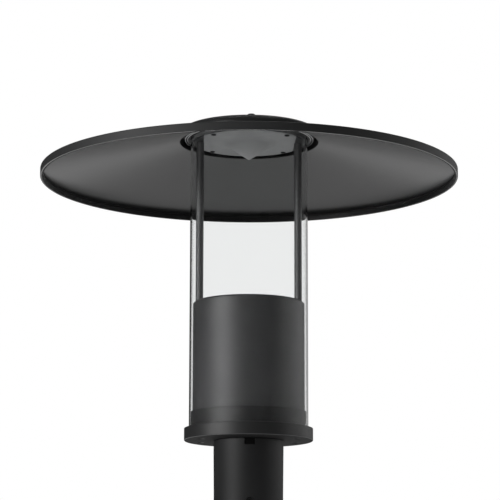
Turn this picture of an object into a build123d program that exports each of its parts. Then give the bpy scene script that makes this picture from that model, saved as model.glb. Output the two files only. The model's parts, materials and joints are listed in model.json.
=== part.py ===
from build123d import *
import math
import os

# Post top area light: a cast neck and base, a gear housing inside a clear glass tube,
# two support rods, and a wide spun canopy over a cone reflector that points down.
# Millimetres, +Z up, the front faces -Y. The origin is the centre of the tenon bore's mouth.

# Pole fitter
tenon_diameter = 76.2
tenon_gap = 0.4
fitter_wall = 11.0
bore_depth = 100.0
fitter_cap = 19.2
fitter_band_step = 0.6
fitter_band_height = 16.2
fitter_band_taper = 6.0
fitter_top_round = 0.6
wire_way_radius = 15.0
edge_round = 1.0

# Set screws that clamp the tenon
set_screw_count = 3
set_screw_radius = 5.0
set_screw_length = 8.5
set_screw_height = 31.0
set_screw_relief = 0.5
set_screw_socket = 2.9
set_screw_first_angle = 270.0

# Joint between fitter and base
fitter_gasket_thickness = 0.8
fitter_gasket_inset = 1.5
key_width = 14.7
key_head_width = 18.4
key_thickness = 5.5
key_inset = 0.5
key_below_gasket = 9.0
key_above_gasket = 2.5
key_gap = 0.15
fitter_bolt_count = 4
fitter_bolt_radius = 4.0
fitter_bolt_circle = 32.0
fitter_bolt_grip = 12.0
fitter_bolt_head_radius = 6.5
fitter_bolt_head_height = 8.0

# Base flange
base_floor = 10.0
flange_height = 17.6
flange_overhang = 6.7
flange_round = 0.6
flange_chamfer = 0.8
collar_height = 23.4
collar_wall = 2.0
grommet_bore = 8.0
grommet_wall = 4.0
grommet_lip = 3.0
grommet_lip_height = 2.0
ground_screw_grip = 6.0
ground_screw_offset = 12.0

# Glass tube and its gaskets
glass_diameter = 171.6
glass_wall = 2.3
glass_height = 424.9
glass_gap = 0.5
glass_gasket_thickness = 2.0
glass_gasket_trim = 0.4

# Gear housing and deck
housing_height = 190.2
housing_wall = 3.0
housing_gap = 0.3
housing_chamfer = 2.5
port_angle = 21.0
port_radius = 6.5
port_overlap = 1.0
port_screw_grip = 12.0
base_screw_recess = 5.5
deck_thickness = 6.0
deck_recess = 14.2
deck_gap = 0.3

# Light engine under the deck
cup_nut_gap = 3.9
cup_wall = 8.0
cup_depth = 20.0
cup_floor = 8.0
cup_flange_width = 10.0
cup_flange_thickness = 6.0
fin_count = 9
fin_edge = 8.0
fin_thickness = 2.5
fin_height = 22.0
board_margin = 16.0
board_thickness = 1.6
emitter_thickness = 1.2
holder_margin = 7.0
holder_gap = 1.0
holder_width = 9.0
holder_thickness = 3.0
holder_screw_count = 2
holder_screw_radius = 1.5
holder_screw_grip = 5.0
cup_reflector_wall = 1.0
cup_reflector_gap = 0.5

# Window in the deck
window_step = 2.0
window_gasket_thickness = 1.5
window_gasket_width = 7.5
window_thickness = 4.0
bezel_side_gap = 0.5
bezel_lip_gap = 0.2
bezel_width = 9.5
bezel_lip = 4.5
bezel_lip_thickness = 2.5
bezel_screw_count = 6
bezel_screw_first_angle = 30.0
bezel_screw_radius = 2.0

# Control gear
bracket_thickness = 2.0
bracket_width = 84.0
bracket_headroom = 8.0
bracket_gap = 2.0
bracket_tab_width = 17.0
bracket_tab_length = 24.0
bracket_screw_grip = 6.0
driver_width = 60.0
driver_depth = 36.0
driver_headroom = 18.0
driver_lift = 16.0
driver_ear = 8.0
driver_ear_thickness = 3.0
driver_round = 2.0
driver_screw_spacing = 40.0
surge_width = 28.0
surge_depth = 24.0
surge_headroom = 12.0
surge_lift = 50.0
terminal_width = 34.0
terminal_depth = 18.0
terminal_height = 26.0
terminal_headroom = 24.0
terminal_ways = 3
terminal_hole_radius = 2.4
gear_spacing = 6.0
lead_radius = 1.2
lead_bend = 3.5
lead_rise = 6.0
lead_pad_inset = 3.0
lead_hole_gap = 0.3
lead_from_front = 3.0

# Support rods
rod_diameter = 11.0
rod_wall_gap = 0.5
stud_radius = 3.0
stud_hole_gap = 0.3
nut_flat_radius = 5.0
nut_height = 5.0
rod_washer_thickness = 1.2
stud_end = 0.5

# Top carrier
carrier_rim = 8.5
carrier_engagement = 2.2
carrier_chamfer = 1.8
carrier_bead = 0.8
carrier_lip = 1.8
carrier_lip_groove = 1.6
carrier_lip_depth = 1.6
carrier_plate_drop = 5.3
carrier_plate_thickness = 6.8
carrier_land = 6.8
carrier_groove_gap = 0.5
carrier_pocket_wall = 4.0
carrier_eye_radius = 45.0

# Cone reflector
reflector_sheet = 1.2
reflector_edge_gap = 2.2
cone_depth = 24.4
cone_radius = 46.0
cone_slope = 33.0
rod_hole_gap = 0.4
reflector_screw_count = 4
reflector_screw_first_angle = 45.0
reflector_screw_inset = 6.0
reflector_screw_grip = 5.5
reflector_head_height = 1.3

# Canopy
canopy_diameter = 610.0
canopy_sheet = 2.5
canopy_recess_gap = 7.0
canopy_recess_depth = 15.9
canopy_drop = 46.8
canopy_rim_lip = 9.6
canopy_rim_round = 0.9
canopy_top_round = 1.6
hem_height = 6.8
hem_thickness = 2.2
hem_round = 0.6
hub_round = 9.5
canopy_gasket_thickness = 1.5
canopy_gasket_width = 9.0
canopy_gasket_inset = 1.2
canopy_screw_count = 4
canopy_screw_first_angle = 270.0
canopy_screw_radius = 3.0
canopy_screw_inset = 6.0
canopy_screw_grip = 4.0
canopy_screw_head_radius = 5.25
canopy_screw_head_height = 1.5
canopy_washer_radius = 6.0
canopy_washer_thickness = 0.8

# Shared small screws and clearances
small_screw_radius = 2.5
small_head_radius = 4.6
small_head_height = 3.0
fine_head_radius = 3.6
fine_head_height = 2.4
tiny_head_radius = 2.7
tiny_head_height = 1.6
thread_gap = 0.05
set_screw_gap = 0.08
hole_gap = 0.3
hole_end_gap = 0.5

# Heights, stacked upwards from the bore's mouth
z_fitter_top = bore_depth + fitter_cap
z_base = z_fitter_top + fitter_gasket_thickness
z_floor = z_base + base_floor
z_shelf = z_base + flange_height
z_collar = z_shelf + collar_height
z_glass_bottom = z_shelf + glass_gasket_thickness
z_glass_top = z_glass_bottom + glass_height
z_housing_top = z_floor + housing_height
z_deck = z_housing_top - deck_recess
z_ports = z_deck - deck_thickness
z_cup_floor = z_ports - cup_depth
z_fins = z_cup_floor - cup_floor
z_board = z_cup_floor + board_thickness
gear_room = z_fins - fin_height - z_floor
bracket_height = gear_room - bracket_headroom
driver_height = gear_room - driver_headroom - driver_lift
surge_height = bracket_height - surge_headroom - surge_lift
terminal_lift = bracket_height - terminal_headroom - terminal_height
z_holder = z_board + holder_thickness
z_window = z_deck + window_gasket_thickness
z_window_top = z_window + window_thickness
z_bezel = z_window_top + bezel_lip_gap + bezel_lip_thickness
z_groove = z_glass_top + glass_gasket_thickness
z_plate = z_glass_top - carrier_plate_drop
z_pocket = z_plate + carrier_plate_thickness
z_carrier_top = z_groove + carrier_land
z_ceiling = z_carrier_top + canopy_gasket_thickness
z_hub = z_ceiling + canopy_sheet
z_lip = z_ceiling - canopy_recess_depth
z_brim_edge = z_lip - canopy_drop
z_rim = z_brim_edge - canopy_rim_lip
z_reflector = z_plate - reflector_sheet

# Radii, nested outwards and inwards from the glass
bore_radius = tenon_diameter / 2 + tenon_gap
fitter_radius = bore_radius + fitter_wall
band_radius = fitter_radius + fitter_band_step
glass_outer = glass_diameter / 2
glass_inner = glass_outer - glass_wall
flange_radius = glass_outer + flange_overhang
collar_radius = glass_inner - glass_gap
socket_radius = collar_radius - collar_wall
housing_outer = socket_radius - housing_gap
housing_inner = housing_outer - housing_wall
deck_radius = housing_inner - deck_gap
port_circle = housing_inner - port_radius + port_overlap
rod_radius = rod_diameter / 2
rod_offset = housing_inner - rod_wall_gap - rod_radius
nut_corner_radius = nut_flat_radius / math.cos(math.pi / 6)
cup_flange = rod_offset - nut_corner_radius - cup_nut_gap
cup_outer = cup_flange - cup_flange_width
cup_inner_radius = cup_outer - cup_wall
fin_pitch = 2 * (cup_outer - fin_edge) / (fin_count - 1)
board_radius = cup_inner_radius - board_margin
window_radius = cup_inner_radius - window_step
window_outer = window_radius + window_gasket_width
bezel_inner = window_outer + bezel_side_gap
bezel_outer = bezel_inner + bezel_width
bezel_screw_circle = (bezel_inner + bezel_outer) / 2
holder_outer = board_radius - holder_margin
holder_inner = holder_outer - holder_width
emitter_radius = holder_inner - holder_gap
holder_screw_circle = (holder_inner + holder_outer) / 2
groove_inner = glass_inner - carrier_groove_gap
groove_outer = glass_outer + carrier_groove_gap
carrier_radius = glass_outer + carrier_rim
lip_inner = carrier_radius - carrier_lip
rim_face = lip_inner - carrier_lip_groove
pocket_radius = groove_inner - carrier_pocket_wall
reflector_radius = groove_inner - reflector_edge_gap
reflector_screw_circle = reflector_radius - reflector_screw_inset
recess_radius = carrier_radius + canopy_recess_gap
hub_radius = recess_radius + canopy_sheet
rim_radius = canopy_diameter / 2
rim_inner = rim_radius - canopy_sheet
canopy_screw_circle = carrier_radius - canopy_screw_inset

UPRIGHT = (Align.CENTER, Align.CENTER, Align.MIN)


def post(radius, bottom, top, x=0.0, y=0.0):
    """Upright cylinder between two heights."""
    return Pos(x, y, bottom) * Cylinder(radius, top - bottom, align=UPRIGHT)


def ring(inner, outer, bottom, top):
    """Flat ring between two heights."""
    return post(outer, bottom, top) - post(inner, bottom, top)


def block(x_low, x_high, y_low, y_high, z_low, z_high):
    """Box between two corners."""
    size = Box(x_high - x_low, y_high - y_low, z_high - z_low)
    return Pos((x_low + x_high) / 2, (y_low + y_high) / 2, (z_low + z_high) / 2) * size


def turned(points, rounds=()):
    """Solid turned about Z from a closed outline of (radius, height) points.

    rounds lists (point, radius) pairs for the corners that are rounded."""
    outline = make_face(Polyline(*points, close=True))
    for (radius, height), size in rounds:
        corner = outline.vertices().sort_by_distance(Vector(radius, height, 0))[0]
        outline = fillet(corner, size)
    return revolve(Plane.XZ * outline, Axis.Z)


def circle_points(count, radius, first_angle):
    """Evenly spaced (x, y) points on a circle."""
    angles = [math.radians(first_angle + 360 * i / count) for i in range(count)]
    return [(radius * math.cos(a), radius * math.sin(a)) for a in angles]


def holes(points, radius, bottom, top):
    """Upright round holes at (x, y) points, as a list of cutters."""
    return [post(radius, bottom, top, x, y) for x, y in points]


def screw(head_radius, head_height, shank_radius, shank_length):
    """Screw with a rounded head and a hex socket, head up, seated at height 0."""
    head = post(head_radius, 0, head_height)
    head = fillet(head.edges().group_by(Axis.Z)[-1], head_height / 3)
    socket_depth = head_height / 2
    socket = Pos(0, 0, head_height - socket_depth) * extrude(RegularPolygon(head_radius / 2, 6), socket_depth)
    return head + post(shank_radius, -shank_length, 0) - socket


def hex_nut(x, y, bottom):
    """Hex nut with its flats square to X, on a stud."""
    body = extrude(Rot(Z=30) * RegularPolygon(nut_corner_radius, 6), nut_height)
    bore = post(stud_radius + thread_gap, 0, nut_height)
    return Pos(x, y, bottom) * (body - bore)


def group(items):
    """Separate solids kept together as one node."""
    return Compound([solid for item in items for solid in item.solids()])


def set_points(points, z, item):
    """Copies of one item at (x, y) points, all at one height."""
    return group([Pos(x, y, z) * item for x, y in points])


fitter_bolt_points = circle_points(fitter_bolt_count, fitter_bolt_circle, 0)
port_x = port_circle * math.cos(math.radians(port_angle))
port_y = port_circle * math.sin(math.radians(port_angle))
port_points = [(side * port_x, end * port_y) for side in (-1, 1) for end in (-1, 1)]
bezel_screw_points = circle_points(bezel_screw_count, bezel_screw_circle, bezel_screw_first_angle)
holder_screw_points = circle_points(holder_screw_count, holder_screw_circle, 0)
reflector_screw_points = circle_points(
    reflector_screw_count, reflector_screw_circle, reflector_screw_first_angle)
canopy_screw_points = circle_points(canopy_screw_count, canopy_screw_circle, canopy_screw_first_angle)
rod_points = [(-rod_offset, 0), (rod_offset, 0)]
ground_point = (0, fitter_bolt_circle + fitter_bolt_head_radius + ground_screw_offset)
bracket_offset = grommet_bore + grommet_wall + grommet_lip + bracket_gap
tab_middle = bracket_width / 2 - bracket_tab_width / 2
bracket_back = bracket_offset + bracket_thickness
bracket_screw_points = [(side * tab_middle, bracket_back + bracket_tab_length / 2) for side in (-1, 1)]
lead_wall_y = -(board_radius + cup_inner_radius) / 2 + lead_radius
lead_points = [(side * fin_pitch / 2, lead_wall_y) for side in (-1, 1)]


def key_shape(gap):
    """Stem through neck, gasket and flange with a wider head in the gasket's layer.

    With no gap it is the key itself, and with a gap it is the room that the key needs."""
    front = -(fitter_radius - key_inset) - gap
    back = -(fitter_radius - key_inset) + key_thickness + gap
    stem_half = key_width / 2 + gap
    head_half = key_head_width / 2 + gap
    bottom = z_fitter_top - key_below_gasket
    top = z_base + key_above_gasket + gap
    stem = block(-stem_half, stem_half, front, back, bottom, top)
    return stem + block(-head_half, head_half, front, back, z_fitter_top, z_base)


def pole_fitter():
    """Neck with the tenon bore, a solid top with the wire way, and a notch for the key."""
    z_band = z_fitter_top - fitter_band_height
    outline = [
        (bore_radius, 0),
        (fitter_radius, 0),
        (fitter_radius, z_band - fitter_band_taper),
        (band_radius, z_band),
        (band_radius, z_fitter_top),
        (wire_way_radius, z_fitter_top),
        (wire_way_radius, bore_depth),
        (bore_radius, bore_depth),
    ]
    neck = turned(outline, [(outline[1], edge_round), (outline[4], fitter_top_round)])
    bolt_end = z_fitter_top - fitter_bolt_grip - hole_end_gap
    cuts = holes(fitter_bolt_points, fitter_bolt_radius + thread_gap, bolt_end, z_fitter_top)
    for i in range(set_screw_count):
        thread = post(set_screw_radius + set_screw_gap, -fitter_wall, 2 * fitter_wall)
        cuts.append(set_screw_place(i) * thread)
    notch = key_shape(key_gap)
    front_slot = Pos(0, -key_inset - fitter_band_step, 0) * notch
    return neck - cuts - notch - front_slot


def set_screw_place(index):
    """Place of a set screw: its tip just outside the bore, its axis outwards."""
    angle = set_screw_first_angle + 360 * index / set_screw_count
    return Rot(Z=angle) * Pos(bore_radius + set_screw_relief, 0, set_screw_height) * Rot(Y=90)


def set_screw(index):
    """Headless screw with a cupped tip and a hex socket."""
    body = post(set_screw_radius, 0, set_screw_length)
    ends = body.edges().filter_by(GeomType.CIRCLE).group_by(Axis.Z)
    body = chamfer(ends[0] + ends[-1], set_screw_radius / 6)
    socket_depth = set_screw_length / 3
    socket = Pos(0, 0, set_screw_length - socket_depth) * extrude(
        RegularPolygon(set_screw_socket, 6), socket_depth)
    return set_screw_place(index) * (body - socket)


def fitter_gasket():
    """Gasket between neck and flange, set in a little to leave a dark reveal."""
    disc = ring(wire_way_radius, fitter_radius - fitter_gasket_inset, z_fitter_top, z_base)
    cuts = holes(fitter_bolt_points, fitter_bolt_radius + hole_gap, z_fitter_top, z_base)
    return disc - cuts - key_shape(key_gap)


def anti_turn_key():
    """Block that locks the flange to the neck."""
    return key_shape(0)


def fitter_bolts():
    """Bolts from the base floor into the top of the neck."""
    length = base_floor + fitter_gasket_thickness + fitter_bolt_grip
    bolt = screw(fitter_bolt_head_radius, fitter_bolt_head_height, fitter_bolt_radius, length)
    return set_points(fitter_bolt_points, z_floor, bolt)


def base_flange():
    """Base with the flange, the shelf under the glass and the collar round the housing."""
    wire_radius = grommet_bore + grommet_wall
    outline = [
        (wire_radius, z_base),
        (flange_radius - flange_chamfer, z_base),
        (flange_radius, z_base + flange_chamfer),
        (flange_radius, z_shelf),
        (collar_radius, z_shelf),
        (collar_radius, z_collar),
        (socket_radius, z_collar),
        (socket_radius, z_floor),
        (wire_radius, z_floor),
    ]
    rounds = [(outline[3], flange_round), (outline[5], collar_wall / 3)]
    base = turned(outline, rounds)
    recess_top = z_base + base_screw_recess
    cuts = holes(fitter_bolt_points, fitter_bolt_radius + hole_gap, z_base, z_floor)
    cuts += holes(port_points, small_screw_radius + hole_gap, z_base, z_floor)
    cuts += holes(port_points, small_head_radius + hole_gap, z_base, recess_top)
    cuts += holes(bracket_screw_points, small_screw_radius + thread_gap,
                  z_floor - bracket_screw_grip - hole_end_gap, z_floor)
    cuts += holes([ground_point], small_screw_radius + thread_gap,
                  z_floor - ground_screw_grip - hole_end_gap, z_floor)
    return base - cuts - key_shape(key_gap)


def wire_grommet():
    """Rubber bush in the wire way with a lip on the base floor."""
    sleeve = ring(grommet_bore, grommet_bore + grommet_wall - hole_gap, z_base, z_floor)
    lip_top = z_floor + grommet_lip_height
    return sleeve + ring(grommet_bore, grommet_bore + grommet_wall + grommet_lip, z_floor, lip_top)


def ground_screw():
    """Earth terminal screw on the base floor."""
    item = screw(small_head_radius, small_head_height, small_screw_radius, ground_screw_grip)
    return Pos(*ground_point, z_floor) * item


def base_screws():
    """Screws from under the flange into the housing's screw ports."""
    length = base_floor - base_screw_recess + port_screw_grip
    item = Rot(X=180) * screw(small_head_radius, small_head_height, small_screw_radius, length)
    return set_points(port_points, z_base + base_screw_recess, item)


def gear_housing():
    """Extruded tube with four screw ports along its inside, chamfered at the top edge."""
    tube = ring(housing_inner, housing_outer, z_floor, z_housing_top)
    top_edge = tube.edges().group_by(Axis.Z)[-1].sort_by(SortBy.RADIUS)[-1]
    tube = chamfer(top_edge, housing_chamfer)
    ports = holes(port_points, port_radius, z_floor, z_ports)
    bores = holes(port_points, small_screw_radius + thread_gap, z_floor, z_ports)
    inside = post(housing_outer - housing_wall / 2, z_floor, z_ports)
    return tube + [port & inside for port in ports] - bores


def housing_deck():
    """Plate that closes the housing, with the window and holes for rods and screws."""
    plate = ring(window_radius, deck_radius, z_ports, z_deck)
    cuts = holes(rod_points, stud_radius + stud_hole_gap, z_ports, z_deck)
    cuts += holes(port_points, small_screw_radius + hole_gap, z_ports, z_deck)
    cuts += holes(bezel_screw_points, bezel_screw_radius + hole_gap, z_ports, z_deck)
    return plate - cuts


def deck_screws():
    """Screws from the deck into the housing's screw ports."""
    length = deck_thickness + port_screw_grip
    item = screw(small_head_radius, small_head_height, small_screw_radius, length)
    return set_points(port_points, z_deck, item)


def led_heat_sink():
    """Cup under the deck that holds the light source, with plate fins below."""
    outline = [
        (0, z_fins),
        (cup_outer, z_fins),
        (cup_outer, z_ports - cup_flange_thickness),
        (cup_flange, z_ports - cup_flange_thickness),
        (cup_flange, z_ports),
        (cup_inner_radius, z_ports),
        (cup_inner_radius, z_cup_floor),
        (0, z_cup_floor),
    ]
    cup = turned(outline)
    envelope = post(cup_outer, z_fins - fin_height, z_fins)
    for i in range(fin_count):
        x = (i - (fin_count - 1) / 2) * fin_pitch
        fin = block(x - fin_thickness / 2, x + fin_thickness / 2, -cup_outer, cup_outer,
                    z_fins - fin_height, z_fins)
        cup += fin & envelope
    cuts = holes(bezel_screw_points, bezel_screw_radius + thread_gap,
                 z_ports - cup_flange_thickness, z_ports)
    cuts += holes(holder_screw_points, holder_screw_radius + thread_gap,
                  z_cup_floor - holder_screw_grip - hole_end_gap, z_cup_floor)
    cuts += holes(lead_points, lead_radius + lead_hole_gap, z_fins, z_cup_floor)
    return cup - cuts


def led_board():
    """Metal core board on the floor of the cup."""
    board = post(board_radius, z_cup_floor, z_board)
    return board - holes(holder_screw_points, holder_screw_radius + hole_gap, z_cup_floor, z_board)


def led_emitter():
    """Round light source on the board."""
    return post(emitter_radius, z_board, z_board + emitter_thickness)


def emitter_holder():
    """Ring that clamps the light source to the board."""
    body = ring(holder_inner, holder_outer, z_board, z_holder)
    return body - holes(holder_screw_points, holder_screw_radius + hole_gap, z_board, z_holder)


def holder_screws():
    """Small screws through the holder and the board into the cup."""
    length = holder_thickness + board_thickness + holder_screw_grip
    item = screw(tiny_head_radius, tiny_head_height, holder_screw_radius, length)
    return set_points(holder_screw_points, z_holder, item)


def uplight_reflector():
    """Flared cup from the holder's inner edge up to the window."""
    foot = holder_inner
    top = window_radius - cup_reflector_gap
    rim = z_deck - cup_reflector_gap
    outline = [
        (foot, z_holder),
        (foot + cup_reflector_wall, z_holder),
        (top, rim),
        (top - cup_reflector_wall, rim),
    ]
    return turned(outline) - holes(holder_screw_points, tiny_head_radius + hole_gap, z_holder, rim)


def window_gasket():
    """Gasket between deck and window."""
    return ring(window_radius, window_outer, z_deck, z_window)


def window_glass():
    """Flat round window over the light source."""
    return post(window_outer, z_window, z_window_top)


def window_bezel():
    """Ring with a lip that holds the window down."""
    outline = [
        (bezel_inner, z_deck),
        (bezel_outer, z_deck),
        (bezel_outer, z_bezel),
        (bezel_inner - bezel_lip, z_bezel),
        (bezel_inner - bezel_lip, z_bezel - bezel_lip_thickness),
        (bezel_inner, z_bezel - bezel_lip_thickness),
    ]
    body = turned(outline, [(outline[2], edge_round)])
    return body - holes(bezel_screw_points, bezel_screw_radius + hole_gap, z_deck, z_bezel)


def bezel_screws():
    """Screws through bezel and deck into the flange of the cup."""
    length = z_bezel - z_ports + cup_flange_thickness
    item = screw(fine_head_radius, fine_head_height, bezel_screw_radius, length)
    return set_points(bezel_screw_points, z_bezel, item)


def driver_screw_places():
    """Places of the driver's screws on the bracket, heads to the front."""
    heights = [z_floor + driver_lift - driver_ear / 2, z_floor + driver_lift + driver_height + driver_ear / 2]
    front = bracket_offset - driver_ear_thickness
    sides = (-driver_screw_spacing / 2, driver_screw_spacing / 2)
    return [Pos(x, front, z) * Rot(X=90) for x in sides for z in heights]


def driver_bracket():
    """Upright plate with two feet bent to the back."""
    half = bracket_width / 2
    plate = block(-half, half, bracket_offset, bracket_back, z_floor, z_floor + bracket_height)
    for side in (-1, 1):
        low = side * tab_middle - bracket_tab_width / 2
        plate += block(low, low + bracket_tab_width, bracket_offset, bracket_back + bracket_tab_length,
                       z_floor, z_floor + bracket_thickness)
    cuts = holes(bracket_screw_points, small_screw_radius + hole_gap, z_floor, z_floor + bracket_thickness)
    cuts += [place * post(bezel_screw_radius + thread_gap, -driver_ear_thickness - bracket_thickness, 0)
             for place in driver_screw_places()]
    return plate - cuts


def bracket_screws():
    """Screws through the bracket's feet into the base floor."""
    length = bracket_thickness + bracket_screw_grip
    item = screw(small_head_radius, small_head_height, small_screw_radius, length)
    return set_points(bracket_screw_points, z_floor + bracket_thickness, item)


def led_driver():
    """Control gear in a case with an ear at each end."""
    half = driver_width / 2
    bottom = z_floor + driver_lift
    top = bottom + driver_height
    case = block(-half, half, bracket_offset - driver_depth, bracket_offset, bottom, top)
    case = fillet(case.edges().filter_by(Axis.Z), driver_round)
    ears = block(-half, half, bracket_offset - driver_ear_thickness, bracket_offset,
                 bottom - driver_ear, top + driver_ear)
    cuts = [place * post(bezel_screw_radius + hole_gap, -driver_ear_thickness, 0)
            for place in driver_screw_places()]
    return case + ears - cuts


def driver_screws():
    """Screws that hold the driver's ears to the bracket."""
    length = driver_ear_thickness + bracket_thickness
    item = screw(fine_head_radius, fine_head_height, bezel_screw_radius, length)
    return group([place * item for place in driver_screw_places()])


def surge_protector():
    """Potted module on the back of the bracket."""
    bottom = z_floor + surge_lift
    body = block(-gear_spacing / 2 - surge_width, -gear_spacing / 2,
                 bracket_back, bracket_back + surge_depth, bottom, bottom + surge_height)
    return fillet(body.edges().filter_by(Axis.Z), driver_round)


def terminal_block():
    """Terminal block beside the surge protector, with wire ways and screw wells."""
    left = gear_spacing / 2
    bottom = z_floor + terminal_lift
    middle = bottom + terminal_height / 2
    back = bracket_back + terminal_depth
    wire_y = bracket_back + terminal_depth / 2
    body = block(left, left + terminal_width, bracket_back, back, bottom, bottom + terminal_height)
    for i in range(terminal_ways):
        x = left + terminal_width * (i + 0.5) / terminal_ways
        body -= post(terminal_hole_radius, bottom, bottom + terminal_height, x, wire_y)
        body -= Pos(x, back, middle) * Rot(X=90) * post(terminal_hole_radius, 0, terminal_depth / 2)
    return body


def led_leads():
    """Two wires from the driver's top, up between the fins, onto the board's edge."""
    leads = []
    start_y = bracket_offset - driver_depth + lead_from_front
    driver_top = z_floor + driver_lift + driver_height
    turn = z_fins - fin_height
    over = z_board + lead_rise
    for x, wall_y in lead_points:
        pad_y = -math.sqrt((board_radius - lead_pad_inset) ** 2 - x ** 2)
        route = [
            (x, start_y, driver_top),
            (x, start_y, (driver_top + turn) / 2),
            (x, wall_y, (driver_top + turn) / 2 + abs(start_y - wall_y)),
            (x, wall_y, over),
            (x, pad_y, over),
            (x, pad_y, z_board),
        ]
        path = FilletPolyline(*route, radius=lead_bend)
        section = Plane(origin=route[0], z_dir=(0, 0, 1)) * Circle(lead_radius)
        leads.append(sweep(section, path=path))
    return group(leads)


def support_rod(x):
    """Rod between deck and carrier with a thinner stud at each end."""
    lower_end = z_ports - rod_washer_thickness - nut_height - stud_end
    upper_end = z_pocket + rod_washer_thickness + nut_height
    return post(rod_radius, z_deck, z_plate, x) + post(stud_radius, lower_end, upper_end, x)


def rod_washers(bottom):
    """One washer on each stud."""
    washer = ring(stud_radius + stud_hole_gap, nut_flat_radius, 0, rod_washer_thickness)
    return set_points(rod_points, bottom, washer)


def rod_nuts(bottom):
    """One nut on each stud."""
    return group([hex_nut(x, y, bottom) for x, y in rod_points])


def glass_gasket(bottom):
    """Flat gasket at an end of the glass."""
    return ring(glass_inner - glass_gasket_trim, glass_outer + glass_gasket_trim,
                bottom, bottom + glass_gasket_thickness)


def glass_cylinder():
    """Clear glass tube."""
    return ring(glass_inner, glass_outer, z_glass_bottom, z_glass_top)


def top_carrier():
    """Ring with the groove for the glass, the plate for the rods and the land under the hub.

    Its lower rim has a thin lip outside, set off by a narrow groove."""
    z_edge = z_glass_top - carrier_engagement
    z_lip_groove = z_edge + carrier_lip_depth
    outline = [
        (carrier_eye_radius, z_plate),
        (groove_inner, z_plate),
        (groove_inner, z_groove),
        (groove_outer, z_groove),
        (groove_outer, z_edge + carrier_chamfer),
        (groove_outer + carrier_chamfer, z_edge),
        (rim_face, z_edge),
        (rim_face, z_lip_groove),
        (lip_inner, z_lip_groove),
        (lip_inner, z_edge),
        (carrier_radius, z_edge),
        (carrier_radius, z_carrier_top),
        (pocket_radius, z_carrier_top),
        (pocket_radius, z_pocket),
        (carrier_eye_radius, z_pocket),
    ]
    lip_round = carrier_lip / 3
    body = turned(outline, [(outline[6], lip_round), (outline[9], lip_round), (outline[10], carrier_bead),
                            (outline[11], edge_round)])
    cuts = holes(rod_points, stud_radius + stud_hole_gap, z_plate, z_pocket)
    cuts += holes(reflector_screw_points, bezel_screw_radius + thread_gap, z_plate, z_pocket)
    cuts += holes(canopy_screw_points, canopy_screw_radius + hole_gap,
                  z_carrier_top - canopy_screw_grip - hole_end_gap, z_carrier_top)
    return body - cuts


def cone_reflector():
    """Spun plate under the carrier with a shallow cone that points down."""
    slope = math.radians(cone_slope)
    bend = (cone_radius - cone_depth / math.tan(slope)) / math.tan(slope / 2)
    lower = Polyline(
        (0, z_reflector - cone_depth),
        (cone_depth / math.tan(slope), z_reflector),
        (reflector_radius, z_reflector),
    )
    upper = Pos(0, reflector_sheet, 0) * lower
    sides = [Line(lower @ 0, upper @ 0), Line(lower @ 1, upper @ 1)]
    outline = make_face([lower, upper] + sides)
    knee_radius = cone_depth / math.tan(slope)
    for height in (z_reflector, z_reflector + reflector_sheet):
        knee = outline.vertices().sort_by_distance(Vector(knee_radius, height, 0))[0]
        outline = fillet(knee, bend)
    body = revolve(Plane.XZ * outline, Axis.Z)
    cuts = holes(rod_points, rod_radius + rod_hole_gap, z_reflector, z_plate)
    cuts += holes(reflector_screw_points, bezel_screw_radius + hole_gap, z_reflector, z_plate)
    return body - cuts


def reflector_screws():
    """Screws that hold the cone reflector up to the carrier, heads down."""
    length = reflector_sheet + reflector_screw_grip
    item = Rot(X=180) * screw(fine_head_radius, reflector_head_height, bezel_screw_radius, length)
    return set_points(reflector_screw_points, z_reflector, item)


def canopy():
    """Spun disc with a flat hub, a recess under it, a sloping brim and a hemmed rim."""
    fall = canopy_drop / (rim_inner - recess_radius)
    skin = canopy_sheet * math.sqrt(1 + fall ** 2)
    hub_foot = z_lip - fall * (hub_radius - recess_radius) + skin
    rim_top = z_brim_edge - fall * (rim_radius - rim_inner) + skin
    outline = [
        (0, z_ceiling),
        (recess_radius, z_ceiling),
        (recess_radius, z_lip),
        (rim_inner, z_brim_edge),
        (rim_inner, z_rim + hem_height),
        (rim_inner - hem_thickness, z_rim + hem_height),
        (rim_inner - hem_thickness, z_rim),
        (rim_radius, z_rim),
        (rim_radius, rim_top),
        (hub_radius, hub_foot),
        (hub_radius, z_hub),
        (0, z_hub),
    ]
    rounds = [
        (outline[1], hub_round - canopy_sheet),
        (outline[5], hem_round),
        (outline[6], canopy_rim_round),
        (outline[7], canopy_rim_round),
        (outline[8], canopy_top_round),
        (outline[10], hub_round),
    ]
    cuts = holes(canopy_screw_points, canopy_screw_radius + hole_gap, z_ceiling, z_hub)
    return turned(outline, rounds) - cuts


def canopy_gasket():
    """Gasket between the carrier's land and the hub."""
    outer = carrier_radius - canopy_gasket_inset
    disc = ring(outer - canopy_gasket_width, outer, z_carrier_top, z_ceiling)
    return disc - holes(canopy_screw_points, canopy_screw_radius + hole_gap, z_carrier_top, z_ceiling)


def canopy_washers():
    """Sealing washers under the canopy screws."""
    washer = ring(canopy_screw_radius + hole_gap, canopy_washer_radius, 0, canopy_washer_thickness)
    return set_points(canopy_screw_points, z_hub, washer)


def canopy_screws():
    """Screws through the hub into the carrier."""
    length = canopy_washer_thickness + canopy_sheet + canopy_gasket_thickness + canopy_screw_grip
    item = screw(canopy_screw_head_radius, canopy_screw_head_height, canopy_screw_radius, length)
    return set_points(canopy_screw_points, z_hub + canopy_washer_thickness, item)


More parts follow.
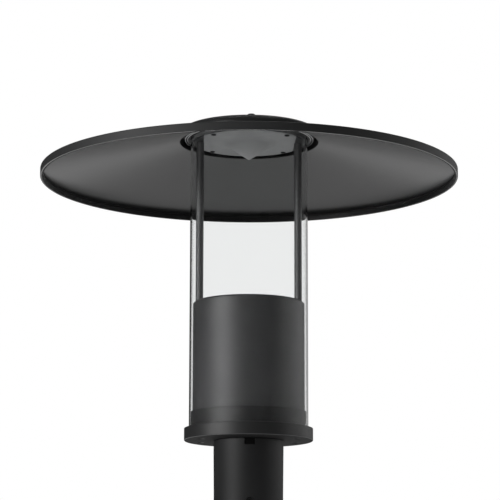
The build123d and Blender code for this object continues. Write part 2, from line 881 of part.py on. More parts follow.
pieces = {
    "pole_fitter": pole_fitter(),
    "fitter_gasket": fitter_gasket(),
    "anti_turn_key": anti_turn_key(),
    "fitter_bolts": fitter_bolts(),
    "base_flange": base_flange(),
    "wire_grommet": wire_grommet(),
    "ground_screw": ground_screw(),
    "base_screws": base_screws(),
    "gear_housing": gear_housing(),
    "housing_deck": housing_deck(),
    "deck_screws": deck_screws(),
    "led_heat_sink": led_heat_sink(),
    "led_board": led_board(),
    "led_emitter": led_emitter(),
    "emitter_holder": emitter_holder(),
    "holder_screws": holder_screws(),
    "uplight_reflector": uplight_reflector(),
    "window_gasket": window_gasket(),
    "window_glass": window_glass(),
    "window_bezel": window_bezel(),
    "bezel_screws": bezel_screws(),
    "driver_bracket": driver_bracket(),
    "bracket_screws": bracket_screws(),
    "led_driver": led_driver(),
    "driver_screws": driver_screws(),
    "surge_protector": surge_protector(),
    "terminal_block": terminal_block(),
    "led_leads": led_leads(),
    "left_support_rod": support_rod(-rod_offset),
    "right_support_rod": support_rod(rod_offset),
    "lower_rod_washers": rod_washers(z_ports - rod_washer_thickness),
    "lower_rod_nuts": rod_nuts(z_ports - rod_washer_thickness - nut_height),
    "upper_rod_washers": rod_washers(z_pocket),
    "upper_rod_nuts": rod_nuts(z_pocket + rod_washer_thickness),
    "lower_glass_gasket": glass_gasket(z_shelf),
    "glass_cylinder": glass_cylinder(),
    "upper_glass_gasket": glass_gasket(z_glass_top),
    "top_carrier": top_carrier(),
    "cone_reflector": cone_reflector(),
    "reflector_screws": reflector_screws(),
    "canopy": canopy(),
    "canopy_gasket": canopy_gasket(),
    "canopy_washers": canopy_washers(),
    "canopy_screws": canopy_screws(),
}
for i in range(set_screw_count):
    pieces[f"set_screw_{i + 1}"] = set_screw(i)

os.makedirs("parts", exist_ok=True)
for name, piece in pieces.items():
    export_step(piece, f"parts/{name}.step")
print(len(pieces), "pieces, overall height", z_hub + canopy_washer_thickness + canopy_screw_head_height)
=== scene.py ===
import json
import math

import bmesh
import bpy
import numpy as np
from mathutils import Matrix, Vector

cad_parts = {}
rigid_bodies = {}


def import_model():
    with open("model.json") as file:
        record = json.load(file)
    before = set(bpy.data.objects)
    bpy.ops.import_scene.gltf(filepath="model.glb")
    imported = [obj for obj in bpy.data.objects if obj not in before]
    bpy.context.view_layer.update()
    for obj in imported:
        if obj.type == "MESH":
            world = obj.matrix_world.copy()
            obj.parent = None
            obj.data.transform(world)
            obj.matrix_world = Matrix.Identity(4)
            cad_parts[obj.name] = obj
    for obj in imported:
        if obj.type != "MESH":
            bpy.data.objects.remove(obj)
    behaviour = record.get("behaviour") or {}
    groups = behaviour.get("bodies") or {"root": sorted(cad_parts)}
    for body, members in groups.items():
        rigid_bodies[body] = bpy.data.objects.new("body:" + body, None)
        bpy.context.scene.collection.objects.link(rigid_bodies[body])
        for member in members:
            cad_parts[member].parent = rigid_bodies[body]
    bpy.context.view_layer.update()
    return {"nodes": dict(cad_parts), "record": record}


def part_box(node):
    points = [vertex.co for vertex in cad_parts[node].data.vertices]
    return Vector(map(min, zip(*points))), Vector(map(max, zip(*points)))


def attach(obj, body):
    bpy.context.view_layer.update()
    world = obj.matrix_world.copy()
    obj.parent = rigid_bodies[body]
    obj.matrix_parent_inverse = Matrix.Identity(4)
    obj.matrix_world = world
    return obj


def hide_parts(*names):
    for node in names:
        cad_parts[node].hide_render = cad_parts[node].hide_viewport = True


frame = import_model()
mm = 0.001
fullTurn = 2 * math.pi
print("frame loaded,", len(frame["nodes"]), "nodes")


# Shader helpers

noiseLow, noiseHigh = 0.3, 0.7        # most values of a noise texture lie between these


def addNode(tree, kind, inputs=None, **settings):
    made = tree.nodes.new("ShaderNode" + kind)
    for name, value in settings.items():
        setattr(made, name, value)
    for name, value in (inputs or {}).items():
        if isinstance(value, bpy.types.NodeSocket):
            tree.links.new(value, made.inputs[name])
        else:
            made.inputs[name].default_value = value
    return made


def calc(tree, operation, *values):
    return addNode(tree, "Math", dict(enumerate(values)), operation=operation).outputs[0]


def mixValue(tree, share, first, second):
    return addNode(tree, "Mix", {0: share, 2: first, 3: second}).outputs[0]


def mixColour(tree, share, first, second):
    return addNode(tree, "Mix", {0: share, 6: first, 7: second}, data_type="RGBA").outputs[2]


def newFinish(name, **sockets):
    # a principled shader whose even values stand on its own sockets
    finish = bpy.data.materials.new(name)
    finish.use_nodes = True
    shader = finish.node_tree.nodes["Principled BSDF"]
    for socket, value in sockets.items():
        shader.inputs[socket.replace("_", " ")].default_value = value
    place = addNode(finish.node_tree, "TexCoord").outputs["Object"]
    return finish, finish.node_tree, shader, place


def noiseAt(tree, place, size, detail=2.0, stretch=(1, 1, 1)):
    # soft noise whose blobs are about one size across, in metres
    scaled = addNode(tree, "Mapping", {"Vector": place, "Scale": stretch}).outputs["Vector"]
    noise = addNode(tree, "TexNoise", {"Vector": scaled, "Scale": 1 / size, "Detail": detail})
    return noise.outputs["Fac"]


def spread(tree, value, low, high, fromLow=noiseLow, fromHigh=noiseHigh):
    # low up to fromLow, high from fromHigh on, and an even slope between them
    ranged = addNode(tree, "MapRange", {"Value": value, "From Min": fromLow, "From Max": fromHigh,
                                        "To Min": low, "To Max": high})
    return ranged.outputs["Result"]


def tint(tree, value, dark, light):
    ramp = addNode(tree, "ValToRGB", {"Fac": value})
    for k, (position, colour) in enumerate([(noiseLow, dark), (noiseHigh, light)]):
        ramp.color_ramp.elements[k].position = position
        ramp.color_ramp.elements[k].color = (*colour, 1)
    return ramp.outputs["Color"]


def relief(tree, shader, height, depth):
    bump = addNode(tree, "Bump", {"Height": height, "Strength": 1.0, "Distance": depth})
    tree.links.new(bump.outputs["Normal"], shader.inputs["Normal"])


def radiusOf(tree, place):
    flat = addNode(tree, "VectorMath", {0: place, 1: (1, 1, 0)}, operation="MULTIPLY").outputs["Vector"]
    return addNode(tree, "VectorMath", {0: flat}, operation="LENGTH").outputs["Value"]


# Mesh helpers

meshLook = {"segments": 256, "steps": 6, "hold": 0.5 * mm, "holdShare": 0.2, "sharpAngle": 38,
            "merge": 0.002 * mm, "holeSegments": 64}


def turnsRound(segments):
    return np.linspace(0, fullTurn, segments, endpoint=False)[:, None]


def roundedOutline(corners, steps=meshLook["steps"]):
    # each corner (radius, height, rounding) becomes an arc that touches its two sides, with a
    # holding point just outside each end of the arc, so that the flat sides shade flat
    points = np.array([corner[:2] for corner in corners])
    hold, holdShare = meshLook["hold"], meshLook["holdShare"]
    outline = []
    for k, corner in enumerate(corners):
        here, rounding = points[k], corner[2]
        if rounding == 0:
            outline.append(here[None, :])
            continue
        toBefore = points[k - 1] - here
        toAfter = points[(k + 1) % len(points)] - here
        sideBefore, sideAfter = np.linalg.norm(toBefore), np.linalg.norm(toAfter)
        toBefore, toAfter = toBefore / sideBefore, toAfter / sideAfter
        half = 0.5 * math.acos(np.clip(toBefore @ toAfter, -1, 1))
        reach = rounding / math.tan(half)
        inward = (toBefore + toAfter) / np.linalg.norm(toBefore + toAfter)
        centre = here + inward * rounding / math.sin(half)
        first, last = here + toBefore * reach - centre, here + toAfter * reach - centre
        start = math.atan2(first[1], first[0])
        sweep = (math.atan2(last[1], last[0]) - start + math.pi) % fullTurn - math.pi
        angles = start + sweep * np.linspace(0, 1, steps + 1)
        arc = centre + rounding * np.stack([np.cos(angles), np.sin(angles)], axis=1)
        before = here + toBefore * (reach + min(hold, holdShare * sideBefore))
        after = here + toAfter * (reach + min(hold, holdShare * sideAfter))
        outline.append(np.vstack([before, arc, after]))
    return np.vstack(outline)


def turnedGrid(outline, segments=meshLook["segments"], x=0.0, y=0.0):
    # point(turn, k) = (x + radius_k cos turn, y + radius_k sin turn, height_k), turn going once round
    turn = turnsRound(segments)
    radius, height = outline[None, :, 0], outline[None, :, 1]
    return np.stack([x + radius * np.cos(turn), y + radius * np.sin(turn), height + 0 * turn], axis=-1)


def plugGrid(radius, low, high, segments=meshLook["holeSegments"], x=0.0, y=0.0):
    # a plain upright cylinder, to cut a hole with
    outline = np.array([(0, low), (radius, low), (radius, high), (0, high)])
    return turnedGrid(outline, segments, x, y)


def blockGrid(plan, low, high):
    # an upright block: its plan's corners carried up, closed at both ends in the plan's middle
    middle = plan.mean(axis=0)
    columns = [(middle, low), (plan, low), (plan, high), (middle, high)]
    grid = np.empty((len(plan), len(columns), 3))
    for k, (points, height) in enumerate(columns):
        grid[:, k, :2] = points
        grid[:, k, 2] = height
    return grid


def alongRadius(grid, start, turn, height):
    # lays an upright grid down along a radius: its height becomes the distance from the axis
    reach, side, up = start + grid[..., 2], grid[..., 1], height - grid[..., 0]
    return np.stack([reach * math.cos(turn) - side * math.sin(turn),
                     reach * math.sin(turn) + side * math.cos(turn), up], axis=-1)


def gridFaces(rows, columns, closedOutline):
    # quads between neighbouring points; rows always close into a ring, columns only if asked
    i = np.arange(rows)[:, None]
    j = np.arange(columns if closedOutline else columns - 1)[None, :]
    nextRow, nextColumn = (i + 1) % rows, (j + 1) % columns
    corners = [i * columns + j, nextRow * columns + j, nextRow * columns + nextColumn,
               i * columns + nextColumn]
    return np.stack(corners, axis=-1).reshape(-1, 4)


def tidyMesh(mesh, sharpAngle):
    # poles become single points, and only real edges stay sharp
    work = bmesh.new()
    work.from_mesh(mesh)
    bmesh.ops.remove_doubles(work, verts=work.verts, dist=meshLook["merge"])
    work.to_mesh(mesh)
    work.free()
    mesh.polygons.foreach_set("use_smooth", np.ones(len(mesh.polygons), bool))
    mesh.set_sharp_from_angle(angle=math.radians(sharpAngle))


def makePiece(name, grids, finish, body, replaced=(), closedOutline=True,
              sharpAngle=meshLook["sharpAngle"]):
    points, faces, offset = [], [], 0
    for grid in grids:
        rows, columns = grid.shape[:2]
        points.append(grid.reshape(-1, 3))
        faces.append(gridFaces(rows, columns, closedOutline) + offset)
        offset += rows * columns
    mesh = bpy.data.meshes.new(name)
    mesh.from_pydata(np.vstack(points).tolist(), [], np.vstack(faces).tolist())
    piece = bpy.data.objects.new(name, mesh)
    bpy.context.scene.collection.objects.link(piece)
    mesh.materials.append(finish)
    tidyMesh(mesh, sharpAngle)
    if body:
        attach(piece, body)
        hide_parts(*replaced)
    return piece


def cutterOf(grid):
    return makePiece("cutter", [grid], graphiteCoat, None, closedOutline=False)


def cutAway(piece, cutters):
    for cutter in cutters:
        cut = piece.modifiers.new("cut", "BOOLEAN")
        cut.operation = "DIFFERENCE"
        cut.solver = "EXACT"
        cut.object = cutter
    bpy.context.view_layer.update()
    cutPiece = piece.evaluated_get(bpy.context.evaluated_depsgraph_get())
    cutMesh = bpy.data.meshes.new_from_object(cutPiece)
    piece.modifiers.clear()
    piece.data = cutMesh
    for cutter in cutters:
        bpy.data.objects.remove(cutter)
    tidyMesh(cutMesh, meshLook["sharpAngle"])


def pointsOf(node):
    return np.array([corner.co for corner in frame["nodes"][node].data.vertices])


def screwPlaces(node, count):
    # centres of a node's separate screws: its points are sorted by their turn round the node's middle,
    # split at the widest jumps, and each group's box gives one centre
    points = pointsOf(node)
    middle = points[:, :2].mean(axis=0)
    turn = np.arctan2(points[:, 1] - middle[1], points[:, 0] - middle[0])
    order = np.argsort(turn)
    jumps = np.diff(np.append(turn[order], turn[order][0] + fullTurn))
    widest = np.argsort(-jumps)[:count]
    fromLastJump = np.roll(order, -1 - widest.max())
    breaks = np.sort((widest - widest.max() - 1) % len(order) + 1)[:-1]
    groups = np.split(fromLastJump, breaks)
    return [(points[group].min(axis=0) + points[group].max(axis=0)) / 2 for group in groups]


# Finishes

coatLook = {"dark": (0.014, 0.0142, 0.0147), "light": (0.020, 0.0203, 0.0208), "shine": 0.5,
            "roughLow": 0.40, "roughHigh": 0.52, "cloud": 60 * mm, "peel": 1.3 * mm, "grit": 0.35 * mm,
            "gritShare": 0.35, "depth": 0.03 * mm}
# a lighter copy of the coat for the housing, deck, bezel and rods inside the glass tube: painted light,
# standing in for light that does not reach them there
innerCoatPaintedLightLook = dict(coatLook, dark=(0.036, 0.0365, 0.0375), light=(0.046, 0.0465, 0.0475))
neckCoatLook = dict(coatLook, shine=0.3, roughLow=0.46, roughHigh=0.58)
# a much darker copy of the coat for the top carrier's ring: painted shade on its lower face, in the canopy's
# recess
carrierCoatPaintedLightAndShadeLook = dict(coatLook, dark=(0.004, 0.0041, 0.0043), light=(0.006, 0.0061, 0.0063), shine=0.12,
                   roughLow=0.45, roughHigh=0.55, depth=0.006 * mm)
canopyCoatLook = dict(coatLook, roughLow=0.26, roughHigh=0.36, depth=0.014 * mm, peel=2.2 * mm)
# cone is a paler tone for the cone, painted light; side is a dark tone at the plate's two sides, painted
# shade
spunLook = {"dark": (0.36, 0.365, 0.37), "light": (0.40, 0.405, 0.41), "cloud": 25 * mm,
            "cone": (0.60, 0.605, 0.61), "coneFrom": 2 * mm, "coneTo": 32 * mm,
            "side": (0.05, 0.051, 0.053), "sideFrom": 66.2 * mm, "sideTo": 67.2 * mm, "metal": 0.2,
            "shine": 0.2, "roughLow": 0.46, "roughHigh": 0.56, "ring": 0.45 * mm, "depth": 0.002 * mm}
glassWaves = {"size": 30 * mm, "stretch": (1, 1, 0.15), "depth": 0.02 * mm}
mattLook = {"bloom": 6 * mm, "grain": 0.4 * mm, "roughSpread": 0.06, "depth": 0.02 * mm}
metalLook = {"marks": 1.5 * mm, "cloud": 12 * mm, "roughSpread": 0.07, "depth": 0.006 * mm}


def zone(along, test, limit, values, reach=0.0):
    # values for the part of a piece whose height or radius passes the limit or lies within reach of it
    return {"along": along, "test": test, "limit": limit, "values": values, "reach": reach}


def makeGraphiteCoat(name, look, zones=()):
    # powder coat: a slow drift of tone, orange peel about a millimetre wide and finer grit in it; a
    # zone changes some values in its part of the piece, and later zones lie over earlier ones
    finish, tree, shader, place = newFinish(name, IOR=1.5, Specular_IOR_Level=look["shine"])
    cloud = noiseAt(tree, place, look["cloud"], 3.0)
    peel = noiseAt(tree, place, look["peel"], 1.0)
    grit = noiseAt(tree, place, look["grit"], 2.0)
    values = {"Base Color": tint(tree, cloud, look["dark"], look["light"]),
              "Roughness": spread(tree, grit, look["roughLow"], look["roughHigh"]), "Metallic": 0.0}
    height = addNode(tree, "SeparateXYZ", {"Vector": place}).outputs["Z"]
    measures = {"height": height, "radius": radiusOf(tree, place)}
    for part in zones:
        mask = calc(tree, part["test"], measures[part["along"]], part["limit"], part["reach"])
        for socket, value in part["values"].items():
            if socket == "Base Color":
                values[socket] = mixColour(tree, mask, values[socket], (*value, 1))
            else:
                values[socket] = mixValue(tree, mask, values[socket], value)
    for socket, value in values.items():
        if isinstance(value, bpy.types.NodeSocket):
            tree.links.new(value, shader.inputs[socket])
    relief(tree, shader, mixValue(tree, look["gritShare"], peel, grit), look["depth"])
    return finish


def makeSpunAluminium(look=spunLook):
    # satin spun sheet: fine rings round the axis, from noise along the radius alone, paler in the middle
    # and dark at its two sides, where the rods pass; the paler middle is painted light and the dark sides are
    # painted shade
    finish, tree, shader, place = newFinish("spunAluminium", Specular_IOR_Level=look["shine"],
                                            Metallic=look["metal"])
    radius = radiusOf(tree, place)
    rings = addNode(tree, "TexNoise", {"W": radius, "Scale": 1 / look["ring"], "Detail": 3.0},
                    noise_dimensions="1D").outputs["Fac"]
    flatTone = tint(tree, noiseAt(tree, place, look["cloud"]), look["dark"], look["light"])
    outward = spread(tree, radius, 0.0, 1.0, look["coneFrom"], look["coneTo"])
    # painted light in the middle, then painted shade at the two sides
    paintedLightCentre = mixColour(tree, outward, (*look["cone"], 1), flatTone)
    across = addNode(tree, "SeparateXYZ", {"Vector": place}).outputs["X"]
    paintedShadeSides = spread(tree, calc(tree, "ABSOLUTE", across), 0.0, 1.0, look["sideFrom"], look["sideTo"])
    tone = mixColour(tree, paintedShadeSides, paintedLightCentre, (*look["side"], 1))
    rough = spread(tree, rings, look["roughLow"], look["roughHigh"])
    tree.links.new(tone, shader.inputs["Base Color"])
    tree.links.new(rough, shader.inputs["Roughness"])
    relief(tree, shader, rings, look["depth"])
    return finish


def makeClearGlass(name, colour, bend):
    # drawn glass: faint waves along the tube in an otherwise clear wall
    finish, tree, shader, place = newFinish(name, Base_Color=(*colour, 1), Transmission_Weight=1.0,
                                            IOR=bend, Roughness=0.0)
    waves = noiseAt(tree, place, glassWaves["size"], 1.0, glassWaves["stretch"])
    relief(tree, shader, waves, glassWaves["depth"])
    return finish


def makeMatt(name, dark, light, roughness, shine=0.5):
    # rubber, moulded plastic, boards and coated screws: a faint bloom and a fine grain
    finish, tree, shader, place = newFinish(name, Specular_IOR_Level=shine)
    bloom = noiseAt(tree, place, mattLook["bloom"], 3.0)
    grain = noiseAt(tree, place, mattLook["grain"], 2.0)
    low, high = roughness - mattLook["roughSpread"], roughness + mattLook["roughSpread"]
    tree.links.new(tint(tree, bloom, dark, light), shader.inputs["Base Color"])
    tree.links.new(spread(tree, grain, low, high), shader.inputs["Roughness"])
    relief(tree, shader, grain, mattLook["depth"])
    return finish


def makeMetal(name, dark, light, roughness, lines=(1, 1, 1)):
    # bare metal with tool marks drawn out along the axis that has the smallest stretch
    finish, tree, shader, place = newFinish(name, Metallic=1.0)
    marks = noiseAt(tree, place, metalLook["marks"], 3.0, lines)
    cloud = noiseAt(tree, place, metalLook["cloud"], 2.0)
    low, high = roughness - metalLook["roughSpread"], roughness + metalLook["roughSpread"]
    tree.links.new(tint(tree, cloud, dark, light), shader.inputs["Base Color"])
    tree.links.new(spread(tree, marks, low, high), shader.inputs["Roughness"])
    relief(tree, shader, marks, metalLook["depth"])
    return finish


graphiteCoat = makeGraphiteCoat("graphiteCoat", coatLook)
# painted light: the lighter coat for the pieces inside the tube
innerCoatPaintedLight = makeGraphiteCoat("innerCoatPaintedLight", innerCoatPaintedLightLook)
neckCoat = makeGraphiteCoat("neckCoat", neckCoatLook)
sealFinish = makeMatt("greySeal", (0.040, 0.040, 0.041), (0.055, 0.055, 0.056), 0.45)
finishes = {
    "graphite_coat": graphiteCoat,
    "satin_reflector": makeSpunAluminium(),
    "raw_aluminium": makeMetal("milledAluminium", (0.52, 0.53, 0.54), (0.66, 0.67, 0.68), 0.40, (6, 1, 1)),
    "tube_glass": makeClearGlass("tubeGlass", (0.912, 0.918, 0.917), 1.09),
    "window_glass": makeClearGlass("windowGlass", (0.97, 0.985, 0.98), 1.47),
    "black_silicone": makeMatt("blackSilicone", (0.008, 0.008, 0.0085), (0.014, 0.014, 0.0145), 0.62, 0.15),
    "black_nylon": makeMatt("blackNylon", (0.002, 0.002, 0.002), (0.004, 0.004, 0.004), 0.75, 0.08),
    "stainless": makeMetal("stainlessScrews", (0.42, 0.42, 0.41), (0.60, 0.60, 0.59), 0.32),
    "dark_screw": makeMatt("blackenedScrews", (0.008, 0.008, 0.0085), (0.014, 0.014, 0.0145), 0.55),
    "white_board": makeMatt("whiteBoard", (0.70, 0.70, 0.68), (0.80, 0.80, 0.78), 0.45),
    "phosphor": makeMatt("phosphor", (0.72, 0.50, 0.07), (0.82, 0.60, 0.12), 0.50),
    "driver_case": makeMatt("driverCase", (0.48, 0.49, 0.50), (0.56, 0.57, 0.58), 0.48),
    "lead_jacket": makeMatt("leadJacket", (0.42, 0.40, 0.35), (0.50, 0.48, 0.42), 0.50),
}
slotOf = {part["node"]: part["material_slot"] for part in frame["record"]["subparts"]}
for nodeName, nodeObject in frame["nodes"].items():
    # the deck and bezel inside the tube take the lighter coat with painted light
    inner = nodeName in ("housing_deck", "window_bezel")
    nodeObject.data.materials.clear()
    nodeObject.data.materials.append(innerCoatPaintedLight if inner else finishes[slotOf[nodeName]])
print("finishes made,", len(finishes))


# Canopy: spun disc with hub, recess, sloping brim and a hemmed rim

canopyLook = {"sheet": 2.5 * mm, "recessGap": 7.0 * mm, "recessDepth": 15.9 * mm, "rimLip": 9.6 * mm,
              "hemHeight": 6.8 * mm, "hemThickness": 2.2 * mm, "rimRound": 0.9 * mm, "topRound": 1.6 * mm,
              "hubRound": 9.5 * mm, "hubFoot": 2.0 * mm, "lipRound": 1.0 * mm, "brimRound": 1.2 * mm,
              "hemFoot": 0.3 * mm, "hemRound": 0.7 * mm, "segments": 384, "steps": 10,
              "rimZone": 0.5 * mm, "rimRough": 0.60, "edgeZone": 0.3 * mm, "edgeRough": 0.10,
              "hemZone": 3.4 * mm, "hemReach": 1.2 * mm, "hemRough": 0.75}


def makeCanopy(look=canopyLook):
    low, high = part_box("canopy")
    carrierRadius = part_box("top_carrier")[1].x
    sheet = look["sheet"]
    rimRadius, rimInner = high.x, high.x - sheet
    recess = carrierRadius + look["recessGap"]
    ceiling = high.z - sheet
    lip = ceiling - look["recessDepth"]
    brimEdge = low.z + look["rimLip"]
    fall = (lip - brimEdge) / (rimInner - recess)
    skin = sheet * math.hypot(1, fall)
    hub = recess + sheet
    hemTop = low.z + look["hemHeight"]
    hemInner = rimInner - look["hemThickness"]
    corners = [
        (0, ceiling, 0),
        (recess, ceiling, look["hubRound"] - sheet),
        (recess, lip, look["lipRound"]),
        (rimInner, brimEdge, look["brimRound"]),
        (rimInner, hemTop, look["hemFoot"]),
        (hemInner, hemTop, look["hemRound"]),
        (hemInner, low.z, look["rimRound"]),
        (rimRadius, low.z, look["rimRound"]),
        (rimRadius, brimEdge - fall * sheet + skin, look["topRound"]),
        (hub, lip - fall * sheet + skin, look["hubFoot"]),
        (hub, high.z, look["hubRound"]),
        (0, high.z, 0),
    ]
    coat = makeGraphiteCoat("canopyCoat", canopyCoatLook, [
        zone("radius", "GREATER_THAN", rimRadius - look["rimZone"], {"Roughness": look["rimRough"]}),
        zone("height", "LESS_THAN", low.z + look["edgeZone"], {"Roughness": look["edgeRough"]}),
        zone("radius", "COMPARE", rimRadius - look["hemZone"], {"Roughness": look["hemRough"]},
             look["hemReach"])])
    outline = roundedOutline(corners, look["steps"])
    makePiece("canopyShell", [turnedGrid(outline, look["segments"])], coat, "canopy",
              ["canopy"], closedOutline=False)


makeCanopy()


# Glass tube with fire polished ends

glassLook = {"wall": 2.3 * mm, "polish": 0.6 * mm}


def ringCorners(inner, outer, low, high, ease):
    return [(inner, low, ease), (outer, low, ease), (outer, high, ease), (inner, high, ease)]


def makeGlassTube(look=glassLook):
    low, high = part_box("glass_cylinder")
    corners = ringCorners(high.x - look["wall"], high.x, low.z, high.z, look["polish"])
    makePiece("glassTube", [turnedGrid(roundedOutline(corners))], finishes["tube_glass"], "lantern",
              ["glass_cylinder"])


makeGlassTube()


# Gear housing: extruded tube with four screw ports along its inside

housingLook = {"wall": 3.0 * mm, "chamfer": 2.5 * mm, "portRadius": 6.5 * mm, "portOverlap": 1.0 * mm,
               "portAngle": 21.0, "portStep": 0.01 * mm, "footRound": 0.4 * mm, "chamferRound": 0.5 * mm,
               "topRound": 0.2 * mm, "segments": 384}


def makeGearHousing(look=housingLook):
    low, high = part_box("gear_housing")
    outer, inner = high.x, high.x - look["wall"]
    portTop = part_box("housing_deck")[0].z
    corners = [
        (inner, low.z, 0),
        (outer, low.z, look["footRound"]),
        (outer, high.z - look["chamfer"], look["chamferRound"]),
        (outer - look["chamfer"], high.z, look["topRound"]),
        (inner, high.z, look["topRound"]),
        (inner, portTop, 0),
        (inner, portTop - look["portStep"], 0),
    ]
    outline = roundedOutline(corners)
    grid = turnedGrid(outline, look["segments"])
    # below the deck the inner radius is the near side of a port where a ray from the axis meets one
    turn = turnsRound(look["segments"])[:, 0]
    portCircle = inner - look["portRadius"] + look["portOverlap"]
    middle = math.radians(look["portAngle"])
    offset = np.abs(np.abs((turn + math.pi / 2) % math.pi - math.pi / 2) - middle)
    inside = np.maximum(look["portRadius"] ** 2 - (portCircle * np.sin(offset)) ** 2, 0)
    near = portCircle * np.cos(offset) - np.sqrt(inside)
    portWall = np.where(inside > 0, np.minimum(near, inner), inner)
    for column in (0, len(outline) - 1):
        grid[:, column, 0] = portWall * np.cos(turn)
        grid[:, column, 1] = portWall * np.sin(turn)
    makePiece("gearHousingTube", [grid], innerCoatPaintedLight, "lantern", ["gear_housing"])


makeGearHousing()


# Base flange with the glass shelf, the collar and four screw recesses underneath

flangeLook = {"chamfer": 0.8 * mm, "shelfRound": 0.6 * mm, "wireRadius": 12.0 * mm, "collarWall": 2.0 * mm,
              "collarGap": 0.3 * mm, "collarRound": 0.6 * mm, "shelfHeight": 17.6 * mm, "floor": 10.0 * mm,
              "edgeRound": 0.3 * mm, "smallRound": 0.4 * mm, "recessDepth": 5.5 * mm,
              "recessRadius": 4.9 * mm, "recessSegments": 48, "cutReach": 1.0 * mm, "underPaintedShadeZone": 0.05 * mm}
# painted highlight: a pale tone on the flange's lower chamfer
flangeChamferPaintedHighlight = {"Base Color": (0.11, 0.111, 0.113)}
# painted shade: a near black tone on the flange's underside
flangeUnderPaintedShade = {"Base Color": (0.006, 0.0061, 0.0063), "Roughness": 0.8}


def makeBaseFlange(look=flangeLook):
    low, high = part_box("base_flange")
    flange, wire, small = high.x, look["wireRadius"], look["smallRound"]
    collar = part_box("gear_housing")[1].x + look["collarGap"] + look["collarWall"]
    socket = collar - look["collarWall"]
    shelf, floor = low.z + look["shelfHeight"], low.z + look["floor"]
    corners = [
        (wire, low.z, small),
        (flange - look["chamfer"], low.z, look["edgeRound"]),
        (flange, low.z + look["chamfer"], look["edgeRound"]),
        (flange, shelf, look["shelfRound"]),
        (collar, shelf, small),
        (collar, high.z, look["collarRound"]),
        (socket, high.z, small),
        (socket, floor, small),
        (wire, floor, small),
    ]
    coat = makeGraphiteCoat("flangeCoat", coatLook, [
        # the pale chamfer is a painted highlight
        zone("height", "LESS_THAN", low.z + look["chamfer"], flangeChamferPaintedHighlight),
        # the near black underside is painted shade
        zone("height", "LESS_THAN", low.z + look["underPaintedShadeZone"], flangeUnderPaintedShade)])
    piece = makePiece("baseFlangeCasting", [turnedGrid(roundedOutline(corners))], coat, "lantern",
                      ["base_flange"])
    foot, top = low.z - look["cutReach"], low.z + look["recessDepth"]
    wells = [plugGrid(look["recessRadius"], foot, top, look["recessSegments"], x, y)
             for x, y, z in screwPlaces("base_screws", 4)]
    cutAway(piece, [cutterOf(well) for well in wells])


makeBaseFlange()


# Neck with the tenon bore, a wider band at its top, the key's notch and three set screw holes

neckLook = {"wall": 11.0 * mm, "boreDepth": 100.0 * mm, "bandStep": 0.6 * mm, "bandHeight": 16.2 * mm,
            "bandTaper": 60.0 * mm, "bandRound": 3.0 * mm, "topRound": 0.6 * mm, "footRound": 1.0 * mm,
            "boreRound": 0.8 * mm, "wireRadius": 15.0 * mm, "holeGap": 0.08 * mm, "keyStem": 14.7 * mm,
            "keyGap": 0.15 * mm, "cutReach": 2.0 * mm}
setScrewIndexes = (1, 2, 3)


def makeNeck(look=neckLook):
    low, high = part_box("pole_fitter")
    band, wire, boreRound = high.x, look["wireRadius"], look["boreRound"]
    outer = band - look["bandStep"]
    bore = outer - look["wall"]
    bandFoot = high.z - look["bandHeight"]
    boreTop = low.z + look["boreDepth"]
    corners = [
        (bore, low.z, boreRound),
        (outer, low.z, look["footRound"]),
        (outer, bandFoot - look["bandTaper"], look["bandRound"]),
        (band, bandFoot, look["bandRound"]),
        (band, high.z, look["topRound"]),
        (wire, high.z, boreRound),
        (wire, boreTop, boreRound),
        (bore, boreTop, boreRound),
    ]
    piece = makePiece("poleNeck", [turnedGrid(roundedOutline(corners))], neckCoat, "lantern",
                      ["pole_fitter"])
    cutters = []
    for index in setScrewIndexes:
        screwLow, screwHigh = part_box(f"set_screw_{index}")
        middle = (screwLow + screwHigh) / 2
        turn = math.atan2(middle.y, middle.x)
        radius = (screwHigh.z - screwLow.z) / 2 + look["holeGap"]
        hole = plugGrid(radius, 0, 2 * look["wall"])
        cutters.append(cutterOf(alongRadius(hole, bore - look["wall"] / 2, turn, middle.z)))
    keyLow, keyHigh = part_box("anti_turn_key")
    stem = look["keyStem"] / 2 + look["keyGap"]
    near, far = -band - look["cutReach"], keyHigh.y + look["keyGap"]
    notch = np.array([(-stem, near), (stem, near), (stem, far), (-stem, far)])
    cutters.append(cutterOf(blockGrid(notch, keyLow.z, high.z + look["cutReach"])))
    cutAway(piece, cutters)


makeNeck()


# Support rods with a thinner stud at each end

rodLook = {"stud": 3.0 * mm, "studRound": 0.5 * mm, "shoulderRound": 0.6 * mm, "segments": 64}


def makeRod(node, name, look=rodLook):
    low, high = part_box(node)
    x, radius, stud = (low.x + high.x) / 2, (high.x - low.x) / 2, look["stud"]
    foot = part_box("housing_deck")[1].z
    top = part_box("cone_reflector")[1].z
    corners = [
        (0, low.z, 0),
        (stud, low.z, look["studRound"]),
        (stud, foot, 0),
        (radius, foot, look["shoulderRound"]),
        (radius, top, look["shoulderRound"]),
        (stud, top, 0),
        (stud, high.z, look["studRound"]),
        (0, high.z, 0),
    ]
    makePiece(name, [turnedGrid(roundedOutline(corners), look["segments"], x)], innerCoatPaintedLight, "lantern",
              [node], closedOutline=False)


makeRod("left_support_rod", "leftRod")
makeRod("right_support_rod", "rightRod")


# Top carrier: ring with the glass groove, the rod plate and the land under the hub

carrierLook = {"eye": 45.0 * mm, "grooveGap": 0.5 * mm, "chamfer": 1.8 * mm, "engagement": 2.2 * mm,
               "plate": 6.8 * mm, "pocketWall": 4.0 * mm, "gasket": 2.0 * mm, "bead": 0.8 * mm,
               "lip": 1.8 * mm, "lipGroove": 1.6 * mm, "lipDepth": 1.6 * mm, "lipRound": 0.6 * mm,
               "lipFloor": 0.2 * mm, "plateRound": 0.5 * mm, "grooveRound": 0.3 * mm,
               "chamferTop": 0.4 * mm, "chamferFoot": 0.6 * mm, "landRound": 1.0 * mm}
